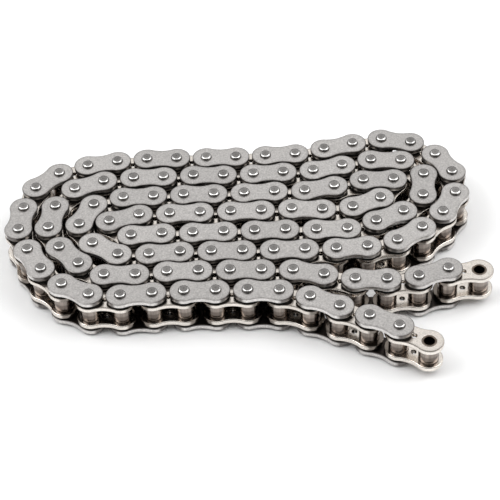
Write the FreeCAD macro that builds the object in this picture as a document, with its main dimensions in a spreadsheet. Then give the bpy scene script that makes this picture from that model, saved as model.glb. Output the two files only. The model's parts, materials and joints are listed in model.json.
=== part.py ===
"""A sealed roller chain of 15.875 mm pitch, 109 links long, lying on its side in close loops.

Frame: millimetres, +Z up along the pins. The chain rests on the lower ends of its pins at z = 0, and the
origin is under the middle of its outline. +X runs along the long rows, and both free ends are on the +X side.

Six pieces repeat along the whole chain: inner plate, outer plate, pin, bush, roller and seal ring. Each is
modelled once, bound to the sheet, and every named sub-part is a link array of one of them. The two tails,
which can swing, have sub-parts of their own. The packed loops between them share one per kind of piece.
"""
import FreeCAD, Part

import math
import os

import Sketcher
from FreeCAD import Placement, Rotation, Vector

# Driving dimensions, in millimetres: alias, value, meaning.
DIMENSIONS = [
    ("pitch", 15.875, "distance between neighbouring pins"),
    ("inner_width", 9.53, "gap between the two plates of an inner link"),
    ("plate_gauge", 2.5, "thickness of every plate"),
    ("seal_gap", 1.35, "space between an inner and an outer plate"),
    ("inner_end_radius", 7.3, "rounded end of an inner plate"),
    ("outer_end_radius", 7.25, "rounded end of an outer plate"),
    ("waist_half", 5.9, "half the width of a plate at its waist"),
    ("plate_edge", 0.6, "rounding of a plate's outward rim"),
    ("weight_hole", 2.8, "diameter of the hole in the middle of an inner plate"),
    ("pin_shank", 5.2, "diameter of a pin"),
    ("pin_head", 5.7, "diameter of a riveted pin head"),
    ("pin_proud", 1.45, "height of a pin head above its plate"),
    ("pin_bevel", 0.65, "bevel round a pin head"),
    ("bush_bore", 5.3, "bore of a bush, which turns on the pin"),
    ("bush_outside", 7.5, "outside of a bush, pressed into the inner plates"),
    ("bush_proud", 0.15, "height of a bush's rim above its plate"),
    ("roller_outside", 10.16, "outside of a roller"),
    ("roller_bore", 7.6, "bore of a roller, which turns on the bush"),
    ("roller_width", 9.25, "length of a roller"),
    ("roller_edge", 0.5, "rounding at both ends of a roller"),
    ("seal_bore", 9.2, "inside of a seal ring"),
    ("seal_outside", 12.8, "outside of a seal ring"),
    ("seal_width", 1.15, "thickness of a seal ring"),
]

# The lay: how many links follow each heading, in degrees from +X, walking from the back tail's free end.
BACK_TAIL = [(1, -175), (1, -164), (1, -177), (1, 176), (1, 165)]
LOOPS = [
    # the back tail's row, leftward
    (1, 165), (1, 176), (1, 177), (1, 178), (1, 179), (1, -177), (1, 177),
    # round the left side, then rightward
    (1, 146), (1, 130), (1, 113), (1, 79), (1, 52), (1, 18), (1, 5),
    (1, -1), (1, 0), (1, -3), (1, -1), (2, 1), (2, 11), (1, -5),
    # round the right side, then leftward
    (1, -46), (1, -97), (1, -135), (1, -157), (1, -163),
    (1, 179), (1, 176), (3, 179), (1, 178), (1, -179),
    # the tight fold at the left, then rightward
    (1, 136), (1, 14), (4, -1), (1, 0), (1, -5), (1, 3), (1, 21),
    # the tight fold at the right, then leftward
    (1, 60), (1, 179), (1, -168), (1, -170), (1, 178), (1, 180), (1, 179), (1, 178), (2, 180),
    # round the left side, then rightward
    (1, -164), (1, -117), (1, -63), (1, -34), (1, -3), (1, 2), (5, -2), (1, 2), (1, 12), (1, 32),
    # the wide bend at the right, then leftward along the back
    (1, 42), (1, 60), (1, 90), (1, 118), (1, 140), (1, 166),
    (1, -171), (1, -168), (1, -170), (1, -179), (1, 180), (3, 178), (1, -177), (1, -172), (1, -162),
    # the wide bend at the left, then rightward along the front
    (1, -139), (1, -111), (1, -97), (1, -70), (1, -62), (1, -46), (1, -30), (1, -6),
    (1, 2), (1, 1), (2, -2),
]
FRONT_TAIL = [(1, -5), (1, -19), (2, -27), (2, -29)]

UP = Vector(0, 0, 1)
HALF_TURN = Rotation(Vector(1, 0, 0), 180)

TOUCHING = 1e-6

# Sketcher's numbers for the points of an edge, and for a sketch's own axes and origin.
START, END, CENTRE = 1, 2, 3
X_AXIS, Y_AXIS, ORIGIN = -1, -2, -1

doc = FreeCAD.newDocument("roller_chain")


def make_sheet():
    """The spreadsheet that every piece is bound to."""
    sheet = doc.addObject("Spreadsheet::Sheet", "dims")
    for row, (alias, value, meaning) in enumerate(DIMENSIONS, start=1):
        sheet.set(f"A{row}", meaning)
        sheet.set(f"B{row}", str(value))
        sheet.setAlias(f"B{row}", alias)
    doc.recompute()
    return sheet


dims = make_sheet()


def new_body(name):
    """An empty body and a sketch on its XY plane."""
    body = doc.addObject("PartDesign::Body", name)
    sketch = body.newObject("Sketcher::SketchObject", name + "_outline")
    ground = next(plane for plane in body.Origin.OriginFeatures if plane.Role == "XY_Plane")
    sketch.AttachmentSupport = [(ground, "")]
    sketch.MapMode = "FlatFace"
    return body, sketch


def bound(sketch, constraint, name, expression):
    """Adds a driving constraint and binds it to the sheet."""
    index = sketch.addConstraint(constraint)
    sketch.renameConstraint(index, name)
    sketch.setExpression("Constraints." + name, expression)


def add_circle(sketch, centre, alias, name):
    """A circle whose diameter is bound to an alias of the sheet."""
    radius = getattr(dims, alias) / 2
    circle = sketch.addGeometry(Part.Circle(centre, UP, radius), False)
    bound(sketch, Sketcher.Constraint("Radius", circle, radius), name, f"dims.{alias} / 2")
    return circle


def pad(body, sketch, length):
    """Pads a sketch upwards by a length from the sheet."""
    feature = body.newObject("PartDesign::Pad", body.Name + "_pad")
    feature.Profile = sketch
    feature.setExpression("Length", length)
    doc.recompute()
    return feature


def round_edges(body, base, chosen, radius):
    """Rounds the chosen edges of a feature by a radius from the sheet."""
    names = [f"Edge{i}" for i, edge in enumerate(base.Shape.Edges, start=1) if chosen(edge)]
    fillet = body.newObject("PartDesign::Fillet", body.Name + "_rounded")
    fillet.Base = (base, names)
    fillet.setExpression("Radius", radius)
    body.Tip = fillet
    doc.recompute()


def waist_radius(end_radius):
    """Radius of the hollow waist arc that is tangent to both rounded ends."""
    half_pitch = dims.pitch / 2
    return (half_pitch**2 + dims.waist_half**2 - end_radius**2) / (2 * (end_radius - dims.waist_half))


def make_plate(name, end_alias, hole_alias, has_weight_hole):
    """A plate lying on z = 0: two rounded ends, a hollow waist, two eyes, and its rim rounded on top."""
    body, sketch = new_body(name)
    end_radius = getattr(dims, end_alias)
    hollow = waist_radius(end_radius)
    half_pitch = dims.pitch / 2
    hollow_y = dims.waist_half + hollow
    meet = math.atan2(hollow_y, half_pitch)

    def arc(x, y, radius, start, end):
        circle = Part.Circle(Vector(x, y, 0), UP, radius)
        return sketch.addGeometry(Part.ArcOfCircle(circle, start, end), False)

    right = arc(half_pitch, 0, end_radius, meet - math.pi, math.pi - meet)
    left = arc(-half_pitch, 0, end_radius, meet, -meet)
    top = arc(0, hollow_y, hollow, math.pi + meet, -meet)
    bottom = arc(0, -hollow_y, hollow, meet, math.pi - meet)
    for one, one_end, other, other_end in (
        (right, END, top, END),
        (top, START, left, START),
        (left, END, bottom, END),
        (bottom, START, right, START),
    ):
        sketch.addConstraint(Sketcher.Constraint("Tangent", one, one_end, other, other_end))
    centres = Sketcher.Constraint("Symmetric", right, CENTRE, left, CENTRE, ORIGIN, START)
    sketch.addConstraint(centres)
    sketch.addConstraint(Sketcher.Constraint("PointOnObject", right, CENTRE, X_AXIS))
    sketch.addConstraint(Sketcher.Constraint("PointOnObject", top, CENTRE, Y_AXIS))
    bound(sketch, Sketcher.Constraint("Radius", right, end_radius), "end_radius", f"dims.{end_alias}")
    bound(
        sketch,
        Sketcher.Constraint("DistanceX", left, CENTRE, right, CENTRE, dims.pitch),
        "eye_distance",
        "dims.pitch",
    )
    hollow_formula = (
        f"((dims.pitch / 2)^2 + dims.waist_half^2 - dims.{end_alias}^2)"
        f" / (2 * (dims.{end_alias} - dims.waist_half))"
    )
    bound(sketch, Sketcher.Constraint("Radius", top, hollow), "top_hollow", hollow_formula)
    bound(sketch, Sketcher.Constraint("Radius", bottom, hollow), "bottom_hollow", hollow_formula)
    for side, eye_name in ((right, "right_eye"), (left, "left_eye")):
        x = half_pitch if side == right else -half_pitch
        eye = add_circle(sketch, Vector(x, 0, 0), hole_alias, eye_name)
        sketch.addConstraint(Sketcher.Constraint("Coincident", eye, CENTRE, side, CENTRE))
    if has_weight_hole:
        middle = add_circle(sketch, Vector(0, 0, 0), "weight_hole", "middle_hole")
        sketch.addConstraint(Sketcher.Constraint("Coincident", middle, CENTRE, ORIGIN, START))
    plate = pad(body, sketch, "dims.plate_gauge")

    def on_top_rim(edge):
        """The rim's arcs run between two vertices, and the holes' circles have one."""
        heights = [vertex.Z for vertex in edge.Vertexes]
        return len(heights) == 2 and min(heights) > dims.plate_gauge - TOUCHING

    round_edges(body, plate, on_top_rim, "dims.plate_edge")
    return body


def make_ring(name, outside, bore, width, edge=None):
    """A plain ring standing on z = 0, its outer edges rounded if edge names a size."""
    body, sketch = new_body(name)
    for alias in (outside, bore):
        circle = add_circle(sketch, Vector(0, 0, 0), alias, alias)
        sketch.addConstraint(Sketcher.Constraint("Coincident", circle, CENTRE, ORIGIN, START))
    ring = pad(body, sketch, width)
    if edge:
        outer_radius = getattr(dims, outside) / 2

        def on_outside(candidate):
            curve = candidate.Curve
            return isinstance(curve, Part.Circle) and abs(curve.Radius - outer_radius) < TOUCHING

        round_edges(body, ring, on_outside, edge)
    return body


def make_pin():
    """A pin standing on z = 0: a shank between two bevelled heads."""
    whole = "(dims.inner_width + 4 * dims.plate_gauge + 2 * dims.seal_gap + 2 * dims.pin_proud)"

    def add(kind, name, height, base, **radii):
        solid = doc.addObject(kind, name)
        for property_name, expression in radii.items():
            solid.setExpression(property_name, expression)
        solid.setExpression("Height", height)
        solid.setExpression("Placement.Base.z", base)
        return solid

    head = "dims.pin_head / 2"
    face = "dims.pin_head / 2 - dims.pin_bevel"
    straight = "dims.pin_proud - dims.pin_bevel"
    bevel = "dims.pin_bevel"
    high_head = whole + " - dims.pin_proud"
    high_bevel = whole + " - dims.pin_bevel"
    solids = [
        add("Part::Cylinder", "pin_shank", whole, "0 mm", Radius="dims.pin_shank / 2"),
        add("Part::Cone", "pin_low_bevel", bevel, "0 mm", Radius1=face, Radius2=head),
        add("Part::Cylinder", "pin_low_head", straight, bevel, Radius=head),
        add("Part::Cylinder", "pin_high_head", straight, high_head, Radius=head),
        add("Part::Cone", "pin_high_bevel", bevel, high_bevel, Radius1=head, Radius2=face),
    ]
    pin = doc.addObject("Part::MultiFuse", "pin")
    pin.Shapes = solids
    pin.Refine = True
    return pin


# Heights of the bottom of each layer above the surface that the pins stand on.
LOW_OUTER = dims.pin_proud
LOW_INNER = LOW_OUTER + dims.plate_gauge + dims.seal_gap
LOW_GAP = LOW_OUTER + dims.plate_gauge
WIDTH_START = LOW_INNER + dims.plate_gauge
HIGH_INNER = WIDTH_START + dims.inner_width
HIGH_GAP = HIGH_INNER + dims.plate_gauge
HIGH_OUTER = HIGH_GAP + dims.seal_gap
SEAL_CLEARANCE = (dims.seal_gap - dims.seal_width) / 2
BUSH_START = LOW_INNER - dims.bush_proud
ROLLER_START = WIDTH_START + (dims.inner_width - dims.roller_width) / 2

pieces = {
    "inner_plate": make_plate("inner_plate", "inner_end_radius", "bush_outside", True),
    "outer_plate": make_plate("outer_plate", "outer_end_radius", "pin_shank", False),
    "pin": make_pin(),
    "bush": make_ring(
        "bush",
        "bush_outside",
        "bush_bore",
        "dims.inner_width + 2 * dims.plate_gauge + 2 * dims.bush_proud",
    ),
    "roller": make_ring("roller", "roller_outside", "roller_bore", "dims.roller_width", "dims.roller_edge"),
    "seal": make_ring("seal", "seal_outside", "seal_bore", "dims.seal_width"),
}


def walk(lay):
    """The pin positions along the lay, the outline's middle at the origin, and each link's heading."""
    headings = [heading for count, heading in lay for _ in range(count)]
    points = [Vector(0, 0, 0)]
    for heading in headings:
        step = Vector(math.cos(math.radians(heading)), math.sin(math.radians(heading)), 0)
        points.append(points[-1] + step * dims.pitch)
    middle = Vector(
        (min(point.x for point in points) + max(point.x for point in points)) / 2,
        (min(point.y for point in points) + max(point.y for point in points)) / 2,
        0,
    )
    return [point - middle for point in points], headings


points, headings = walk(BACK_TAIL + LOOPS + FRONT_TAIL)


def plate_spot(link, height, upside_down):
    """Where a link's plate lies: half way between its pins, with its rounded rim up or down."""
    middle = (points[link] + points[link + 1]) / 2 + Vector(0, 0, height)
    turn = Rotation(Vector(0, 0, 1), headings[link])
    if upside_down:
        middle += Vector(0, 0, dims.plate_gauge)
        turn = turn * HALF_TURN
    return Placement(middle, turn)


def at_pin(point, height):
    """A place on a pin's axis."""
    return Placement(points[point] + Vector(0, 0, height), Rotation())


def is_inner(link):
    """Links alternate, and both free ends are inner links."""
    return link % 2 == 0


def link_spots(link):
    """Every piece of one link: name of the sub-part, kind of piece, and where its copies go."""
    ends = (link, link + 1)
    if is_inner(link):
        return [
            ("top_plate", "inner_plate", [plate_spot(link, HIGH_INNER, False)]),
            ("bottom_plate", "inner_plate", [plate_spot(link, LOW_INNER, True)]),
            ("bushes", "bush", [at_pin(end, BUSH_START) for end in ends]),
            ("roller_a", "roller", [at_pin(link, ROLLER_START)]),
            ("roller_b", "roller", [at_pin(link + 1, ROLLER_START)]),
        ]
    seal_heights = (LOW_GAP + SEAL_CLEARANCE, HIGH_GAP + SEAL_CLEARANCE)
    return [
        ("top_plate", "outer_plate", [plate_spot(link, HIGH_OUTER, False)]),
        ("bottom_plate", "outer_plate", [plate_spot(link, LOW_OUTER, True)]),
        ("pins", "pin", [at_pin(end, 0) for end in ends]),
        ("seals", "seal", [at_pin(end, height) for end in ends for height in seal_heights]),
    ]


nodes = []


def make_node(name, kind, spots):
    """One named sub-part: a link array that repeats a piece at each spot."""
    node = doc.addObject("App::Link", name)
    node.Label = name
    node.LinkedObject = pieces[kind]
    node.ShowElement = False
    node.ElementCount = len(spots)
    node.PlacementList = spots
    nodes.append(node)


def links_in(lay):
    """How many links a stretch of the lay holds."""
    return sum(count for count, _ in lay)


first_looped = links_in(BACK_TAIL)
first_front = first_looped + links_in(LOOPS)
last = len(headings) - 1

for link in range(first_looped):
    for part_name, kind, spots in link_spots(link):
        make_node(f"back_tail_{link + 1}_{part_name}", kind, spots)

for link in range(first_front, last + 1):
    for part_name, kind, spots in link_spots(link):
        make_node(f"front_tail_{last + 1 - link}_{part_name}", kind, spots)

LOOP_NODES = {
    ("inner_plate", "top_plate"): "loop_inner_plates_top",
    ("inner_plate", "bottom_plate"): "loop_inner_plates_bottom",
    ("outer_plate", "top_plate"): "loop_outer_plates_top",
    ("outer_plate", "bottom_plate"): "loop_outer_plates_bottom",
    ("bush", "bushes"): "loop_bushes",
    ("roller", "roller_a"): "loop_rollers",
    ("roller", "roller_b"): "loop_rollers",
    ("pin", "pins"): "loop_pins",
    ("seal", "seals"): "loop_seals",
}
loop_spots = {}
for link in range(first_looped, first_front):
    for part_name, kind, spots in link_spots(link):
        loop_spots.setdefault((LOOP_NODES[kind, part_name], kind), []).extend(spots)
for (name, kind), spots in loop_spots.items():
    make_node(name, kind, spots)

doc.recompute()

for item in doc.Objects:
    if "Invalid" in item.State or "Error" in item.State:
        raise RuntimeError(f"{item.Label} failed: {item.State}")

os.makedirs("parts", exist_ok=True)
for node in nodes:
    shape = Part.getShape(node)
    if shape.isNull() or not shape.isValid() or len(shape.Solids) != node.ElementCount:
        raise RuntimeError(f"{node.Label} is not {node.ElementCount} whole solids")
    shape.exportStep(f"parts/{node.Label}.step")

closest = min(
    (points[i] - points[j]).Length for i in range(len(points)) for j in range(i + 2, len(points))
)
spare = closest - 2 * dims.inner_end_radius
print(f"{len(headings)} links, {len(nodes)} sub-parts, closest side-by-side plates {spare:.2f} mm apart")
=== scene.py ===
"""Looks of a roller chain lying on its side in close loops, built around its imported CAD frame.

Every CAD sub-part is replaced by finer pieces at the places of its solids: stamped plates with rolled rims,
riveted pins, bushes, rollers and sealing rings. Their lengths are in millimetres until a mesh is written.
The floor, lamps and camera are placed in metres.
"""
import json
import math

import bmesh
import bpy
import numpy as np
from mathutils import Euler, Matrix, Vector

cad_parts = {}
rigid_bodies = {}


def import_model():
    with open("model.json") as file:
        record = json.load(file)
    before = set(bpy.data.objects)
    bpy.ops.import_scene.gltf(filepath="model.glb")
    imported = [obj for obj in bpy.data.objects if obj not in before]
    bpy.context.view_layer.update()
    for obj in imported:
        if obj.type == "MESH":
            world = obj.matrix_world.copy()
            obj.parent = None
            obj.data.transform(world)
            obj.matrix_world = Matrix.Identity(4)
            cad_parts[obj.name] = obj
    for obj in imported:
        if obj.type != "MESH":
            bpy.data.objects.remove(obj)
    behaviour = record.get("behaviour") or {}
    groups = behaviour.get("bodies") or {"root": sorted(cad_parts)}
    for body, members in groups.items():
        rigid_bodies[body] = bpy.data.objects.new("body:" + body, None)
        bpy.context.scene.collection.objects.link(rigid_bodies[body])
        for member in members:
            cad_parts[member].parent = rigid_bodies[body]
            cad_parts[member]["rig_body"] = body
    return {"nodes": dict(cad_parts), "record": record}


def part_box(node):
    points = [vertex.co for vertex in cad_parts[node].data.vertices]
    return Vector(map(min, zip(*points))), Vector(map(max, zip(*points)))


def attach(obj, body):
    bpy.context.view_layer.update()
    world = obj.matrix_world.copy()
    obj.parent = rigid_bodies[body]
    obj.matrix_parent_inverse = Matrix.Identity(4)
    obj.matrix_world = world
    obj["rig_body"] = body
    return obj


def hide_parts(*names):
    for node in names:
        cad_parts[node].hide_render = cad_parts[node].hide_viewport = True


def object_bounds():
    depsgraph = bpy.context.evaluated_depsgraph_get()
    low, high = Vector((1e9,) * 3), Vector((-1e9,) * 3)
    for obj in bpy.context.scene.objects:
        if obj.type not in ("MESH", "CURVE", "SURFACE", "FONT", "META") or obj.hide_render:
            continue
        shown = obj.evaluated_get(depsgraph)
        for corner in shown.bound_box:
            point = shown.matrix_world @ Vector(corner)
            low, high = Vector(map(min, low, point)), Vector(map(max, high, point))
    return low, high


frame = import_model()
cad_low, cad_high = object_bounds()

MM = 0.001
PITCH = 15.875
PLATE_GAUGE = 2.5
WAIST_HALF = 5.9
INNER_END_RADIUS = 7.3
OUTER_END_RADIUS = 7.25
WEIGHT_HOLE_RADIUS = 1.4
PIN_RADIUS = 2.6
PIN_HEAD_RADIUS = 2.85
BUSH_RADIUS = 3.75
BUSH_BORE_RADIUS = 2.65
ROLLER_RADIUS = 5.08
ROLLER_BORE_RADIUS = 3.8
SEAL_INSIDE = 4.6
SEAL_OUTSIDE = 6.4
OUTER_EYE_CHAMFER = 0.42
INNER_EYE_CHAMFER = 0.12
WEIGHT_HOLE_CHAMFER = 0.22
SEAL_CLEARANCE = 0.06

# How finely the round shapes are divided.
PLATE_END_STEPS = 44
PLATE_SIDE_STEPS = 16
EYE_SIDES = 36
PIN_SIDES = 44
BUSH_SIDES = 40
ROLLER_SIDES = 48
SEAL_SIDES = 40
SEAL_PROFILE_SIDES = 24
SHARP_ANGLE = math.radians(50)

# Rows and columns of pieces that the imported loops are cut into.
LOOP_PATCHES = (4, 2)

# The noise on the steel, in waves per millimetre. Each piece is shifted by up to NOISE_SHIFT in it, at random.
SEED = 530
NOISE_SHIFT = 500
CLOUD_SCALE = 0.35
SPECK_SCALE = 7.0

# A point of a plate within the reach below of another link's middle line is darkened as painted shade in the
# gap, most of all the fade below closer.
GAP_SHADE_REACH = 9.7
GAP_SHADE_FADE = 1.5
GAP_SHADE_MOST = 0.85

# The stage and the camera, in metres and degrees. The lens and the sensor are in millimetres.
FLOOR_REACH = 6.0
FLOOR_DROP = 0.0001
WORLD_STRENGTH = 0.1
LENS = 129.3
SENSOR = 36.0
CAMERA_PLACE = (0.00226, -0.6448, 0.6757)
CAMERA_DOWN = 45.674
CAMERA_ROLL = -2.717

# Each lamp's name, azimuth, elevation and distance from the object, width, height, and radiance.
SOFTBOXES = [
    ("back", 90, 43, 1.5, 2.4, 0.76, 0.97),
    ("overhead", -90, 80, 1.5, 3.2, 1.3, 1.4),
    ("left", 178, 45, 1.6, 1.4, 1.2, 2.4),
    ("right", 2, 45, 1.6, 1.4, 1.2, 2.4),
]

# The side of a stamped plate, from its outward face down: inset from the outline, depth, and wear with painted
# light.
# Wear is 1 on a bright edge, 0 on an open face and -1 where the darkest dirt and painted shade lie.
# The dark band along the fold is painted shade, and the bright bands down the side wall are partly rubbed
# steel and partly a painted reflection of the floor.
PLATE_RIM = [
    (1.3, 0.0, 0.0),
    (0.8, 0.012, -0.1),
    (0.45, 0.035, -0.15),
    (0.22, 0.065, -0.3),
    (0.1, 0.1, -0.6),
    (0.03, 0.17, -0.5),
    (0.0, 0.32, 0.3),
    (0.0, 1.05, 0.6),
    (0.01, 1.2, 0.1),
    (0.02, 1.35, 0.5),
    (0.02, 1.7, 0.7),
]


def solid_middles(name):
    """The middle of each separate solid of a CAD node."""
    mesh = frame["nodes"][name].data
    corners = np.empty(len(mesh.vertices) * 3, np.float32)
    mesh.vertices.foreach_get("co", corners)
    corners = corners.reshape(-1, 3) / MM
    places, weld = np.unique(np.round(corners, 3), axis=0, return_inverse=True)
    edges = np.empty(len(mesh.edges) * 2, np.int32)
    mesh.edges.foreach_get("vertices", edges)
    start, end = weld.ravel()[edges].reshape(-1, 2).T
    label = np.arange(len(places))
    while True:
        lower = np.minimum(label[start], label[end])
        joined = label.copy()
        np.minimum.at(joined, start, lower)
        np.minimum.at(joined, end, lower)
        joined = joined[joined]
        if np.array_equal(joined, label):
            break
        label = joined
    middles = []
    for solid in np.unique(label):
        own = places[label == solid]
        x, y = own[:, :2].mean(0)
        middles.append(Vector((x, y, (own[:, 2].min() + own[:, 2].max()) / 2)))
    return sorted(middles, key=lambda middle: (round(middle.x, 1), round(middle.y, 1), middle.z))


class Shape:
    """A piece in its own coordinates: corners, faces, which faces are flat, and each corner's wear and painted
    light.
    """

    def __init__(self):
        self.corners = []
        self.wear_and_painted_light = []
        self.faces = []
        self.flat = []

    def ring(self, points, wear_and_painted_light):
        """Adds a closed ring of corners and returns their numbers."""
        first = len(self.corners)
        self.corners.extend(points)
        self.wear_and_painted_light.extend([wear_and_painted_light] * len(points))
        return list(range(first, first + len(points)))

    def strip(self, one, other):
        """Joins two rings of the same count by a band of quads."""
        count = len(one)
        for i in range(count):
            j = (i + 1) % count
            self.faces.append((one[i], one[j], other[j], other[i]))
            self.flat.append(False)

    def cap(self, rings, up):
        """Fills the flat region between an outer ring and its holes."""
        fill = bmesh.new()
        edges = []
        for numbers in rings:
            corners = [fill.verts.new(self.corners[n]) for n in numbers]
            for i, corner in enumerate(corners):
                edges.append(fill.edges.new((corner, corners[(i + 1) % len(corners)])))
        bmesh.ops.triangle_fill(fill, use_beauty=True, use_dissolve=False, edges=edges)
        fill.verts.index_update()
        numbers = [n for ring in rings for n in ring]
        for face in fill.faces:
            face.normal_update()
            order = [numbers[corner.index] for corner in face.verts]
            if (face.normal.z > 0) != up:
                order.reverse()
            self.faces.append(tuple(order))
            self.flat.append(True)
        fill.free()


def circle(x, radius, z, count):
    """Points of a circle about an axis at x."""
    turns = [2 * math.pi * i / count for i in range(count)]
    return [(x + radius * math.cos(a), radius * math.sin(a), z) for a in turns]


def plate_outline(end_radius):
    """Points and outward normals round a plate: two round ends and two hollow sides, all tangent."""
    half = PITCH / 2
    hollow = (half**2 + WAIST_HALF**2 - end_radius**2) / (2 * (end_radius - WAIST_HALF))
    hollow_y = WAIST_HALF + hollow
    meet = math.atan2(hollow_y, half)
    side = []
    for i in range(PLATE_END_STEPS + 1):
        angle = meet - math.pi + (2 * math.pi - 2 * meet) * i / PLATE_END_STEPS
        normal = (math.cos(angle), math.sin(angle))
        side.append((half + end_radius * normal[0], end_radius * normal[1], *normal))
    for i in range(1, PLATE_SIDE_STEPS):
        angle = -meet + (2 * meet - math.pi) * i / PLATE_SIDE_STEPS
        normal = (-math.cos(angle), -math.sin(angle))
        side.append((-hollow * normal[0], hollow_y - hollow * normal[1], *normal))
    return side + [tuple(-value for value in point) for point in side]


def make_plate(end_radius, eye_radius, eye_chamfer, middle_hole, underside_shade):
    """A stamped plate with its rolled rim upward, its mid-thickness at z = 0."""
    shape = Shape()
    outline = plate_outline(end_radius)
    top = PLATE_GAUGE / 2
    rings = []
    # The lower edge has a bright band, partly a painted reflection, and an underside painted dark as shade on
    # the outer plates.
    lower_edge = [
        (0.03, PLATE_GAUGE - 0.5, 0.6),
        (0.12, PLATE_GAUGE - 0.25, underside_shade / 2),
        (0.4, PLATE_GAUGE, underside_shade),
    ]
    for inset, depth, wear_and_painted_light in PLATE_RIM + lower_edge:
        points = [(x - inset * nx, y - inset * ny, top - depth) for x, y, nx, ny in outline]
        rings.append(shape.ring(points, wear_and_painted_light))
    for upper, lower in zip(rings, rings[1:]):
        shape.strip(lower, upper)
    holes = [(-PITCH / 2, eye_radius, eye_chamfer), (PITCH / 2, eye_radius, eye_chamfer)]
    if middle_hole:
        holes.append((0.0, WEIGHT_HOLE_RADIUS, WEIGHT_HOLE_CHAMFER))
    upper_edges, lower_edges = [rings[0]], [rings[-1]]
    for x, radius, chamfer in holes:
        steps = [
            (radius + chamfer, top, 0.0),
            (radius + 0.25 * chamfer, top - 0.35 * chamfer, 0.3),
            (radius, top - chamfer, -0.4),
            (radius, -top + 0.1, -0.5),
            (radius + 0.1, -top, underside_shade),
        ]
        bands = [shape.ring(circle(x, r, z, EYE_SIDES), wear_and_painted_light) for r, z, wear_and_painted_light in steps]
        for upper, lower in zip(bands, bands[1:]):
            shape.strip(upper, lower)
        upper_edges.append(bands[0])
        lower_edges.append(bands[-1])
    shape.cap(upper_edges, True)
    shape.cap(lower_edges, False)
    return shape


def revolve(profile, count, closed):
    """Turns a profile of (radius, z, wear) about z. A closed profile makes a ring, an open one is capped."""
    shape = Shape()
    bands = [shape.ring(circle(0, r, z, count), wear_and_painted_light) for r, z, wear_and_painted_light in profile]
    for one, other in zip(bands, bands[1:]):
        shape.strip(one, other)
    if closed:
        shape.strip(bands[-1], bands[0])
    else:
        shape.cap([bands[0]], False)
        shape.cap([bands[-1]], True)
    return shape


def mirrored(upper):
    """A profile and its reflection below z = 0, from the bottom up."""
    return [(r, -z, wear_and_painted_light) for r, z, wear_and_painted_light in reversed(upper)] + upper


def make_pin(half_length, plate_face):
    """A riveted pin: shank, and at each end a head with a rounded shoulder and a shallow dished face."""
    # Each head's wall and foot are painted dark as shade, and its shoulder is painted bright: partly rubbed
    # steel, partly a painted highlight.
    upper = [
        (PIN_RADIUS, plate_face - 0.3, -0.6),
        (PIN_HEAD_RADIUS - 0.06, plate_face - 0.02, -0.9),
        (PIN_HEAD_RADIUS, plate_face + 0.15, -0.5),
        (PIN_HEAD_RADIUS, plate_face + 0.66, -0.5),
        (PIN_HEAD_RADIUS - 0.07, half_length - 0.54, 0.0),
        (PIN_HEAD_RADIUS - 0.23, half_length - 0.32, 0.7),
        (PIN_HEAD_RADIUS - 0.45, half_length - 0.15, 0.8),
        (PIN_HEAD_RADIUS - 0.7, half_length - 0.04, 0.7),
        (PIN_HEAD_RADIUS - 0.9, half_length, 0.0),
        (1.3, half_length - 0.02, 0.0),
        (0.8, half_length - 0.025, 0.0),
        (0.3, half_length - 0.05, -0.2),
        (0.06, half_length - 0.06, -0.3),
    ]
    return revolve(mirrored(upper), PIN_SIDES, False)


def make_bush(half_length):
    """A bush: a tube with broken edges."""
    outer = mirrored([(BUSH_RADIUS, half_length - 0.18, 0.0), (BUSH_RADIUS - 0.07, half_length - 0.05, 0.6)])
    bore = [(BUSH_BORE_RADIUS, half_length - 0.45, -1.0), (BUSH_BORE_RADIUS + 0.18, half_length - 0.04, 0.2)]
    rim = [(BUSH_RADIUS - 0.2, half_length, 0.6), (BUSH_BORE_RADIUS + 0.3, half_length, 0.1)]
    foot = [(r, -z, wear_and_painted_light) for r, z, wear_and_painted_light in reversed(rim)]
    return revolve(outer + rim + mirrored(bore)[::-1] + foot, BUSH_SIDES, True)


def make_roller(half_length):
    """A roller: a thick tube with rounded shoulders, its lower half painted darker as shade."""
    upper = [
        (ROLLER_RADIUS, 0.4, -0.15),
        (ROLLER_RADIUS, half_length - 1.4, 0.0),
        (ROLLER_RADIUS, half_length - 0.5, 0.2),
        (ROLLER_RADIUS - 0.07, half_length - 0.24, 0.6),
        (ROLLER_RADIUS - 0.24, half_length - 0.07, 0.6),
        (ROLLER_RADIUS - 0.5, half_length, 0.0),
    ]
    # The lower half is painted darker: painted shade, as if less light reached it.
    lower = [(r, -z, -0.6) for r, z, wear_and_painted_light in reversed(upper)]
    bore = [(ROLLER_BORE_RADIUS, half_length - 0.3, -1.0), (ROLLER_BORE_RADIUS + 0.25, half_length, -0.6)]
    foot = [(r, -z, wear_and_painted_light) for r, z, wear_and_painted_light in bore[::-1]]
    return revolve(lower + upper + bore[::-1] + foot[::-1], ROLLER_SIDES, True)


def make_seal(half_height):
    """A sealing ring of X section: four lobes with a hollow between each pair."""
    middle = (SEAL_INSIDE + SEAL_OUTSIDE) / 2
    half_width = (SEAL_OUTSIDE - SEAL_INSIDE) / 2
    profile = []
    for i in range(SEAL_PROFILE_SIDES):
        angle = 2 * math.pi * i / SEAL_PROFILE_SIDES
        reach = 0.86 - 0.14 * math.cos(4 * angle)
        across = half_width * reach * math.copysign(abs(math.cos(angle)) ** 0.7, math.cos(angle))
        up = half_height * reach * math.copysign(abs(math.sin(angle)) ** 0.7, math.sin(angle))
        profile.append((middle + across, up, 0.0))
    return revolve(profile, SEAL_SIDES, True)


def z_span(name):
    """Heights of the lowest and highest point of a CAD node."""
    low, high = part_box(name)
    return low.z / MM, high.z / MM


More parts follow.
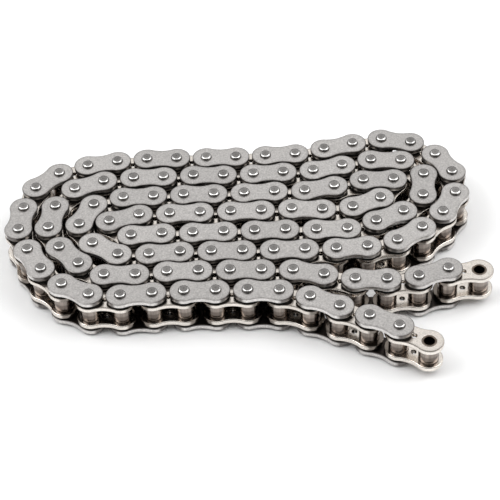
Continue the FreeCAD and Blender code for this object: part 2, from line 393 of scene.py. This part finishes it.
# Heights and lengths come from the frame.
pin_low, pin_high = z_span("loop_pins")
middle_height = (pin_low + pin_high) / 2
outer_face = z_span("loop_outer_plates_top")[1] - middle_height
bush_low, bush_high = z_span("loop_bushes")
roller_low, roller_high = z_span("loop_rollers")
seal_half = (z_span("loop_outer_plates_top")[0] - z_span("loop_inner_plates_top")[1]) / 2 - SEAL_CLEARANCE

SHAPES = {
    "outer_plate": make_plate(OUTER_END_RADIUS, PIN_RADIUS, OUTER_EYE_CHAMFER, False, -1.0),
    "inner_plate": make_plate(INNER_END_RADIUS, BUSH_RADIUS, INNER_EYE_CHAMFER, True, 0.0),
    "pin": make_pin((pin_high - pin_low) / 2, outer_face),
    "bush": make_bush((bush_high - bush_low) / 2),
    "roller": make_roller((roller_high - roller_low) / 2),
    "seal": make_seal(seal_half),
}


def new_material(name):
    """A new material, its node tree and its Principled node."""
    material = bpy.data.materials.new(name)
    material.use_nodes = True
    tree = material.node_tree
    shader = tree.nodes["Principled BSDF"]
    return material, tree, shader


def add_node(tree, kind, inputs=None, **settings):
    """A node with its settings, and its inputs set to values or linked to sockets."""
    made = tree.nodes.new(kind)
    for setting, value in settings.items():
        setattr(made, setting, value)
    for key, value in (inputs or {}).items():
        if isinstance(value, bpy.types.NodeSocket):
            tree.links.new(value, made.inputs[key])
        else:
            made.inputs[key].default_value = value
    return made


def attribute(tree, name, output):
    """A socket that reads one of the meshes' own attributes."""
    return add_node(tree, "ShaderNodeAttribute", attribute_name=name).outputs[output]


def noise(tree, vector, scale, detail, stretch=(1, 1, 1)):
    """Soft noise, centred on 0.5, in a stretched copy of the vector."""
    mapped = add_node(tree, "ShaderNodeMapping", {"Vector": vector, "Scale": stretch})
    inputs = {"Vector": mapped.outputs[0], "Scale": scale, "Detail": detail}
    return add_node(tree, "ShaderNodeTexNoise", inputs).outputs["Fac"]


def remap(tree, value, low, high, from_low=0.0, from_high=1.0):
    """The value moved from one range to another."""
    inputs = {"Value": value, "From Min": from_low, "From Max": from_high, "To Min": low, "To Max": high}
    return add_node(tree, "ShaderNodeMapRange", inputs).outputs[0]


def combine(tree, operation, one, other):
    """A sum, product or other maths of two values."""
    return add_node(tree, "ShaderNodeMath", {0: one, 1: other}, operation=operation).outputs[0]


def mixed(tree, factor, one, other, blend_type="MIX"):
    """A blend of two colours."""
    inputs = {0: factor, 6: one, 7: other}
    return add_node(tree, "ShaderNodeMix", inputs, data_type="RGBA", blend_type=blend_type).outputs[2]


def make_steel(
    name,
    colour,
    dirt_and_shade,
    bright,
    roughness,
    grain_scale,
    grain_depth,
    spread,
    grain_stretch=(1, 1, 1),
    streak=0.05,
):
    """Steel with grain, cloudy patches, dirt and painted shade in creases and gaps, rubbed edges with painted
    highlights, and a tone of its own for each piece.

    spread is how much the tone differs between pieces, and streak how much it follows the grain.
    """
    material, tree, shader = new_material(name)
    local = attribute(tree, "local", "Vector")
    tone = attribute(tree, "tone", "Fac")
    wear_and_painted_light = attribute(tree, "wear_and_painted_light", "Fac")
    grain = noise(tree, local, grain_scale, 4.0, grain_stretch)
    cloud = noise(tree, local, CLOUD_SCALE, 3.0)
    speck = noise(tree, local, SPECK_SCALE, 2.0)

    # Below 0 the colour goes towards the dark one: dirt and painted shade. Above 0 it goes towards the bright
    # one: rubbed steel and painted highlights.
    dirt_and_shade_mask = remap(tree, wear_and_painted_light, 1.0, 0.0, -1.0, 0.0)
    rubbed_and_sheen = remap(tree, wear_and_painted_light, 0.0, 1.0, 0.0, 1.0)
    shade = remap(tree, cloud, 0.94, 1.06, 0.3, 0.7)
    shade = combine(tree, "MULTIPLY", shade, remap(tree, tone, 1 - spread, 1 + spread))
    shade = combine(tree, "MULTIPLY", shade, remap(tree, grain, 1 - streak, 1 + streak, 0.3, 0.7))
    shade = combine(tree, "MULTIPLY", shade, remap(tree, speck, 0.96, 1.04, 0.35, 0.65))
    grey = add_node(tree, "ShaderNodeCombineColor", {0: shade, 1: shade, 2: shade}).outputs[0]
    base = mixed(tree, dirt_and_shade_mask, (*colour, 1.0), (*dirt_and_shade, 1.0))
    base = mixed(tree, rubbed_and_sheen, base, (*bright, 1.0))
    tree.links.new(mixed(tree, 1.0, base, grey, "MULTIPLY"), shader.inputs["Base Color"])

    gloss = remap(tree, grain, roughness - 0.05, roughness + 0.05, 0.3, 0.7)
    gloss = combine(tree, "ADD", gloss, remap(tree, cloud, -0.03, 0.03, 0.3, 0.7))
    gloss = combine(tree, "SUBTRACT", gloss, combine(tree, "MULTIPLY", rubbed_and_sheen, 0.1))
    tree.links.new(gloss, shader.inputs["Roughness"])
    shader.inputs["Metallic"].default_value = 1.0

    bump = add_node(tree, "ShaderNodeBump", {"Height": grain, "Strength": 0.25, "Distance": grain_depth * MM})
    tree.links.new(bump.outputs[0], shader.inputs["Normal"])
    return material


def make_rubber(name):
    """Matt black rubber with a faint moulded skin."""
    material, tree, shader = new_material(name)
    local = attribute(tree, "local", "Vector")
    skin = noise(tree, local, 3.0, 4.0)
    colour = mixed(tree, skin, (0.008, 0.008, 0.008, 1.0), (0.022, 0.021, 0.02, 1.0))
    tree.links.new(colour, shader.inputs["Base Color"])
    tree.links.new(remap(tree, skin, 0.55, 0.75, 0.3, 0.7), shader.inputs["Roughness"])
    bump = add_node(tree, "ShaderNodeBump", {"Height": skin, "Strength": 0.3, "Distance": 0.05 * MM})
    tree.links.new(bump.outputs[0], shader.inputs["Normal"])
    return material


MATERIALS = {
    "outer_plate": make_steel(
        "satin_outer_steel",
        colour=(0.575, 0.555, 0.538),
        dirt_and_shade=(0.07, 0.06, 0.055),
        bright=(0.8, 0.78, 0.76),
        roughness=0.38,
        grain_scale=1.1,
        grain_depth=0.06,
        spread=0.06,
        streak=0.2,
    ),
    "inner_plate": make_steel(
        "nickelled_inner_steel",
        colour=(0.72, 0.67, 0.615),
        dirt_and_shade=(0.09, 0.07, 0.055),
        bright=(0.86, 0.815, 0.76),
        roughness=0.18,
        grain_scale=1.4,
        grain_depth=0.05,
        spread=0.05,
        streak=0.12,
    ),
    "pin": make_steel(
        "riveted_pin_steel",
        colour=(0.25, 0.24, 0.232),
        dirt_and_shade=(0.03, 0.027, 0.024),
        bright=(0.85, 0.84, 0.82),
        roughness=0.3,
        grain_scale=3.5,
        grain_depth=0.03,
        spread=0.12,
        grain_stretch=(1, 1, 0.3),
    ),
    "bush": make_steel(
        "bush_steel",
        colour=(0.13, 0.1, 0.08),
        dirt_and_shade=(0.02, 0.016, 0.013),
        bright=(0.3, 0.26, 0.22),
        roughness=0.34,
        grain_scale=2.5,
        grain_depth=0.04,
        spread=0.05,
        grain_stretch=(1, 1, 0.2),
    ),
    "roller": make_steel(
        "oiled_roller_steel",
        colour=(0.32, 0.28, 0.25),
        dirt_and_shade=(0.06, 0.04, 0.03),
        bright=(0.5, 0.45, 0.41),
        roughness=0.17,
        grain_scale=0.8,
        grain_depth=0.03,
        spread=0.12,
        grain_stretch=(1, 1, 0.06),
        streak=0.3,
    ),
    "seal": make_rubber("seal_rubber"),
}


def painted_gap_shade(points, middle):
    """How much painted shade, from 0 to 1, darkens each point of a plate between its link and others."""
    away = np.hypot(*(chain_line - np.array(middle.xy)).T)
    others = chain_line[away > PITCH / 2 + 0.5]
    gap = np.hypot(points[:, None, 0] - others[:, 0], points[:, None, 1] - others[:, 1]).min(axis=1)
    return GAP_SHADE_MOST * np.clip((GAP_SHADE_REACH - gap) / GAP_SHADE_FADE, 0, 1)


def make_piece(name, kind, spots, body, nodes, rng):
    """One mesh with a copy of a kind's shape at each spot, riding on a body in place of CAD nodes."""
    shape = SHAPES[kind]
    corners = np.array(shape.corners)
    below_face = corners[:, 2] < PLATE_GAUGE / 2 - 0.05
    count = len(corners)
    all_corners, all_faces, local, tone, wear_and_painted_light = [], [], [], [], []
    for number, spot in enumerate(spots):
        turned = np.array(spot)
        all_corners.append(corners @ turned[:3, :3].T + turned[:3, 3])
        wear_and_painted_light.append(np.array(shape.wear_and_painted_light))
        # Plates are darkened where they face other links: painted shade in the gaps between rows.
        if kind.endswith("plate"):
            dirt_and_shade = painted_gap_shade(all_corners[-1], spot.translation) * below_face
            wear_and_painted_light[-1] = wear_and_painted_light[-1] * (1 - dirt_and_shade) - dirt_and_shade
        local.append(corners + rng.uniform(-NOISE_SHIFT, NOISE_SHIFT, 3))
        tone.append(np.full(count, rng.random()))
        all_faces.extend(tuple(n + number * count for n in face) for face in shape.faces)
    mesh = bpy.data.meshes.new(name)
    mesh.from_pydata(np.concatenate(all_corners) * MM, [], all_faces)
    own_place = mesh.attributes.new("local", "FLOAT_VECTOR", "POINT")
    own_place.data.foreach_set("vector", np.concatenate(local).ravel())
    mesh.attributes.new("tone", "FLOAT", "POINT").data.foreach_set("value", np.concatenate(tone))
    mesh.attributes.new("wear_and_painted_light", "FLOAT", "POINT").data.foreach_set("value", np.concatenate(wear_and_painted_light))
    # Marking sharp edges clears the flat faces, so they are marked after it.
    mesh.set_sharp_from_angle(angle=SHARP_ANGLE)
    mesh.polygons.foreach_set("use_smooth", np.tile(~np.array(shape.flat), len(spots)))
    mesh.materials.append(MATERIALS[kind])
    mesh.update()
    piece = bpy.data.objects.new(name, mesh)
    bpy.context.scene.collection.objects.link(piece)
    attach(piece, body)
    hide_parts(*nodes)


kind_of = {part["node"]: part["material_slot"] for part in frame["record"]["subparts"]}
middles = {node: solid_middles(node) for node in kind_of}
axes = {
    kind: [middle for node, found in middles.items() if kind_of[node] == kind for middle in found]
    for kind in SHAPES
}

# Points along the middle of the whole chain: every joint, and every link's middle.
chain_line = np.array(
    [tuple(middle.xy) for kind in ("bush", "outer_plate", "inner_plate") for middle in axes[kind]]
)


def round_spot(middle):
    """Where a turned piece stands: on its own axis."""
    return Matrix.Translation(middle)


def plate_spot(middle, pins):
    """Where a plate lies: between the two nearest axes of its link, its rolled rim away from the rollers."""
    one, other = sorted(pins, key=lambda pin: (pin.xy - middle.xy).length)[:2]
    along = other.xy - one.xy
    spot = Matrix.Translation(((one.x + other.x) / 2, (one.y + other.y) / 2, middle.z))
    spot @= Matrix.Rotation(math.atan2(along.y, along.x), 4, "Z")
    if middle.z < middle_height:
        spot @= Matrix.Rotation(math.pi, 4, "X")
    return spot


def patch_of(spot):
    """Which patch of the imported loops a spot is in, counted from the front left."""
    rows, columns = LOOP_PATCHES
    place = spot.translation * MM
    row = int(rows * (place.y - cad_low.y) / (cad_high.y - cad_low.y))
    column = int(columns * (place.x - cad_low.x) / (cad_high.x - cad_low.x))
    return row * columns + column + 1


rng = np.random.default_rng(SEED)
for node, kind in kind_of.items():
    if kind == "outer_plate":
        spots = [plate_spot(middle, axes["pin"]) for middle in middles[node]]
    elif kind == "inner_plate":
        spots = [plate_spot(middle, axes["bush"]) for middle in middles[node]]
    else:
        spots = [round_spot(middle) for middle in middles[node]]
    body = frame["nodes"][node]["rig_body"]
    if node.startswith("loop"):
        patches = {}
        for spot in spots:
            patches.setdefault(patch_of(spot), []).append(spot)
        for number, found in sorted(patches.items()):
            make_piece(f"{node}_patch_{number}", kind, found, body, [node], rng)
    else:
        make_piece(f"{node}_fine", kind, spots, body, [node], rng)


def make_floor():
    """A wide pale floor just under the object."""
    mesh = bpy.data.meshes.new("floor")
    corners = [(x * FLOOR_REACH, y * FLOOR_REACH, 0) for x, y in ((-1, -1), (1, -1), (1, 1), (-1, 1))]
    mesh.from_pydata(corners, [], [(0, 1, 2, 3)])
    material, _, shader = new_material("pale_floor")
    shader.inputs["Base Color"].default_value = (0.95, 0.95, 0.95, 1.0)
    shader.inputs["Roughness"].default_value = 0.9
    shader.inputs["Specular IOR Level"].default_value = 0.1
    mesh.materials.append(material)
    floor = bpy.data.objects.new("floor", mesh)
    floor.location.z = cad_low.z - FLOOR_DROP
    bpy.context.scene.collection.objects.link(floor)


def make_softbox(name, azimuth, elevation, distance, width, height, radiance):
    """A soft lamp that faces the object, at an azimuth from +X and an elevation in degrees."""
    lamp = bpy.data.lights.new(name, "AREA")
    lamp.shape = "RECTANGLE"
    lamp.size = width
    lamp.size_y = height
    lamp.energy = radiance * math.pi * width * height
    turn, lift = math.radians(azimuth), math.radians(elevation)
    towards = Vector((math.cos(turn) * math.cos(lift), math.sin(turn) * math.cos(lift), math.sin(lift)))
    softbox = bpy.data.objects.new(name, lamp)
    softbox.location = towards * distance
    softbox.rotation_euler = towards.to_track_quat("Z", "Y").to_euler()
    bpy.context.scene.collection.objects.link(softbox)


def make_camera():
    """The camera, above the front and looking down on the loops."""
    data = bpy.data.cameras.new("camera")
    data.lens = LENS
    data.sensor_width = SENSOR
    data.clip_start, data.clip_end = 0.01, 50.0
    camera = bpy.data.objects.new("camera", data)
    camera.location = CAMERA_PLACE
    tilt = Euler((math.radians(90 - CAMERA_DOWN), 0, 0)).to_matrix()
    roll = Euler((0, 0, math.radians(CAMERA_ROLL))).to_matrix()
    camera.rotation_euler = (tilt @ roll).to_euler()
    bpy.context.scene.collection.objects.link(camera)
    bpy.context.scene.camera = camera


def make_world():
    """A faint even light from all round."""
    world = bpy.data.worlds.new("studio")
    world.use_nodes = True
    background = world.node_tree.nodes["Background"]
    background.inputs["Color"].default_value = (1.0, 1.0, 1.0, 1.0)
    background.inputs["Strength"].default_value = WORLD_STRENGTH
    bpy.context.scene.world = world


make_floor()
make_world()
for softbox in SOFTBOXES:
    make_softbox(*softbox)
make_camera()
bpy.context.scene.view_settings.view_transform = "Standard"
